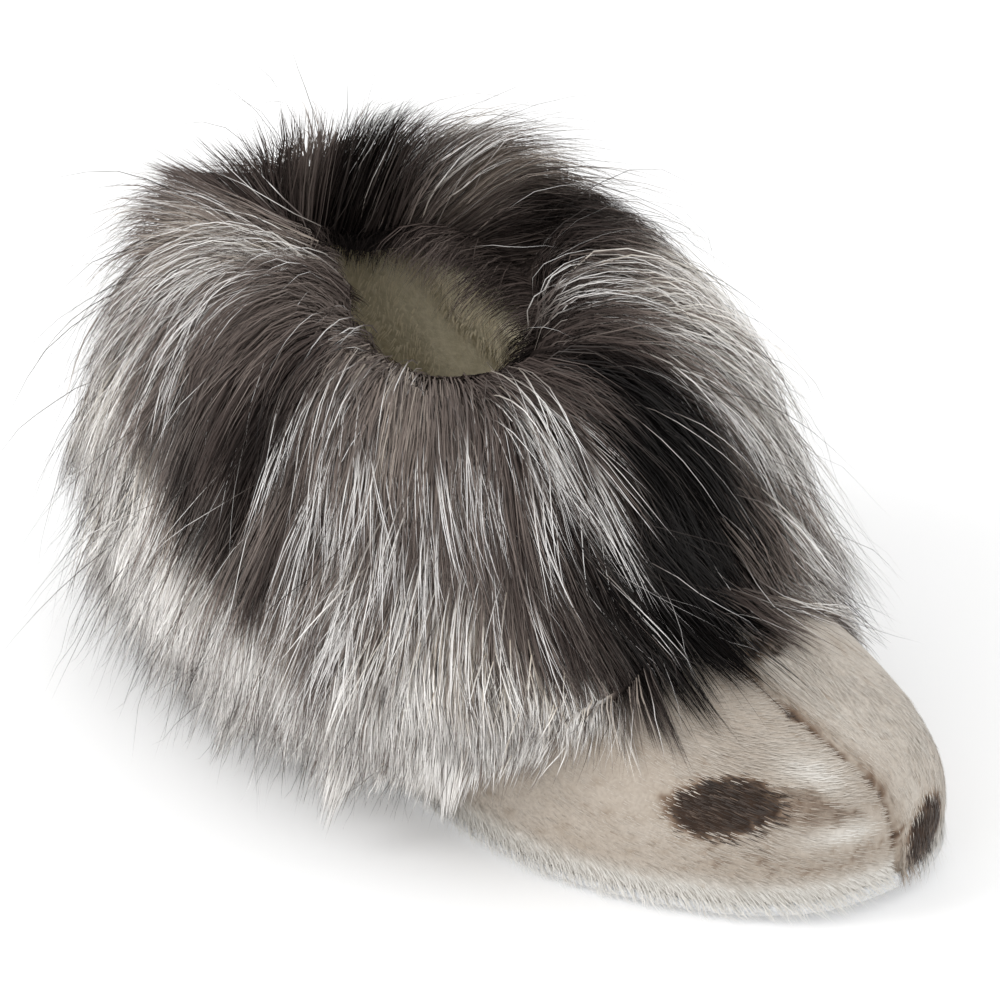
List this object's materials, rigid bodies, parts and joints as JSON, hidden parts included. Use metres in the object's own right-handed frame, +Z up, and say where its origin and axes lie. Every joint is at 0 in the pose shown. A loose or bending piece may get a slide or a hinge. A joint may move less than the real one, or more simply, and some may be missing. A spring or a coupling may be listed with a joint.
{
  "type": "house slipper",
  "caption": "Soft right-foot house slipper of short-haired hide with a centre toe seam, thin suede sole, pile footbed and a deep long-haired fur cuff round an ankle-high collar.",
  "frame": {"origin": "on the floor under the middle of the heel, where the sole stands", "axes": "+Y from toe to heel (the toe points along -Y), +X towards the big-toe side, +Z up out of the collar"},
  "size_m": [0.1909, 0.3147, 0.1481],
  "materials": {
    "suede_sole": "nubby white suede",
    "cream_pile": "soft cream pile",
    "hair_hide": "short spotted hair on hide",
    "long_fur": "long dark fur with silver guard hairs"
  },
  "bodies": {
    "root": {"outsole": "suede_sole", "insole": "cream_pile", "upper": "hair_hide", "fur_cuff": "long_fur"}
  },
  "joints": []
}
